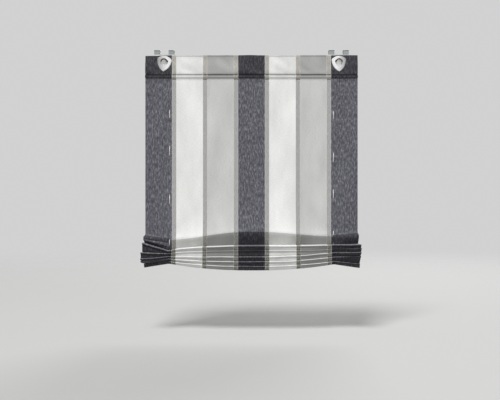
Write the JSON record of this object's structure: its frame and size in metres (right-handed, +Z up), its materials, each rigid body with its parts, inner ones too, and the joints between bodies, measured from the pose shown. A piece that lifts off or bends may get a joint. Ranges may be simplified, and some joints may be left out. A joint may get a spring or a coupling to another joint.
{
  "type": "roll-up blind",
  "caption": "Striped fabric blind that hangs from sash hooks by large eyelets and is drawn up into pleats on woven lift cords with spring cord stops.",
  "frame": {"origin": "midway between the hooks, on the sash's top edge and on its room-side face", "axes": "+X to the viewer's right, -Y into the room, +Z up"},
  "size_m": [0.8209, 0.088, 0.8275],
  "materials": {
    "striped_cloth": "woven, with sheer strips between the stripes",
    "rod_aluminium": "plain drawn tube",
    "white_plastic": "moulded, white",
    "hook_steel": "bright strip",
    "eyelet_silver": "satin silver",
    "white_cord": "braided",
    "spring_steel": "bare wire"
  },
  "bodies": {
    "blind": {"fabric_panel": "striped_cloth", "header_rod": "rod_aluminium", "rod_end_cap_left": "white_plastic", "sash_hook_left": "hook_steel", "eyelet_front_left": "eyelet_silver", "eyelet_back_left": "eyelet_silver", "lift_cord_left": "white_cord", "rod_end_cap_right": "white_plastic", "sash_hook_right": "hook_steel", "eyelet_front_right": "eyelet_silver", "eyelet_back_right": "eyelet_silver", "lift_cord_right": "white_cord"},
    "left_stop": {"stop_barrel_left": "white_plastic", "stop_spring_left": "spring_steel"},
    "left_plunger": {"stop_plunger_left": "white_plastic"},
    "right_stop": {"stop_barrel_right": "white_plastic", "stop_spring_right": "spring_steel"},
    "right_plunger": {"stop_plunger_right": "white_plastic"}
  },
  "joints": [
    {"name": "left_stop_slide", "type": "slide", "parent": "blind", "child": "left_stop", "axis": [0, 0, 1], "range_m": [-0.05, 0.01]},
    {"name": "left_plunger_press", "type": "slide", "parent": "left_stop", "child": "left_plunger", "axis": [1, 0, 0], "range_m": [0, 0.003], "stiffness_N_per_m": 300, "springref_m": -0.004, "deforming": ["stop_spring_left"]},
    {"name": "right_stop_slide", "type": "slide", "parent": "blind", "child": "right_stop", "axis": [0, 0, 1], "range_m": [-0.05, 0.01]},
    {"name": "right_plunger_press", "type": "slide", "parent": "right_stop", "child": "right_plunger", "axis": [-1, 0, 0], "range_m": [0, 0.003], "stiffness_N_per_m": 300, "springref_m": -0.004, "deforming": ["stop_spring_right"]}
  ]
}
